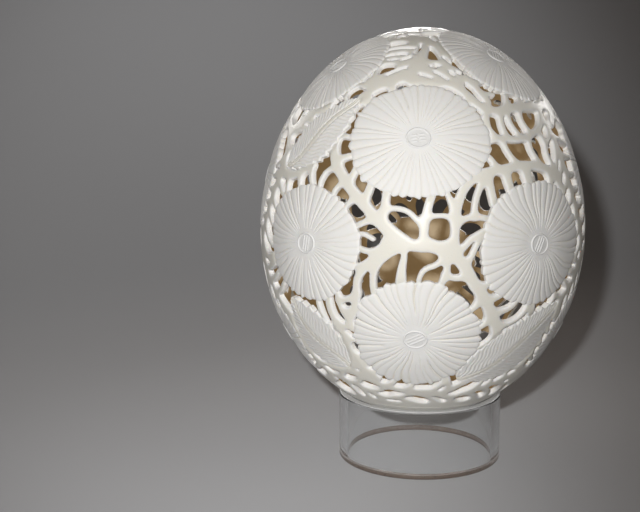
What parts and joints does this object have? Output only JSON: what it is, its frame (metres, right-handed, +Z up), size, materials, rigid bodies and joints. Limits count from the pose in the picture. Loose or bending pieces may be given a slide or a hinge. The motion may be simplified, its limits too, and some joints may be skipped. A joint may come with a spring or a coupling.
{
  "type": "carved ostrich egg",
  "caption": "Blown ostrich eggshell carved as pierced openwork with flower roundels, leaves and branching stems, standing blunt end down on a clear tube ring.",
  "frame": {"origin": "centre of the ring stand's foot, on the surface it stands on", "axes": "+Z up along the egg's long axis, -Y towards the front of the picture, +X to its right"},
  "size_m": [0.125, 0.125, 0.1678],
  "materials": {
    "eggshell": "matt carved eggshell, chalk white where cut, ivory where the outer skin is left",
    "acrylic": "clear polished acrylic"
  },
  "bodies": {
    "root": {"eggshell": "eggshell", "ring_stand": "acrylic"}
  },
  "joints": []
}
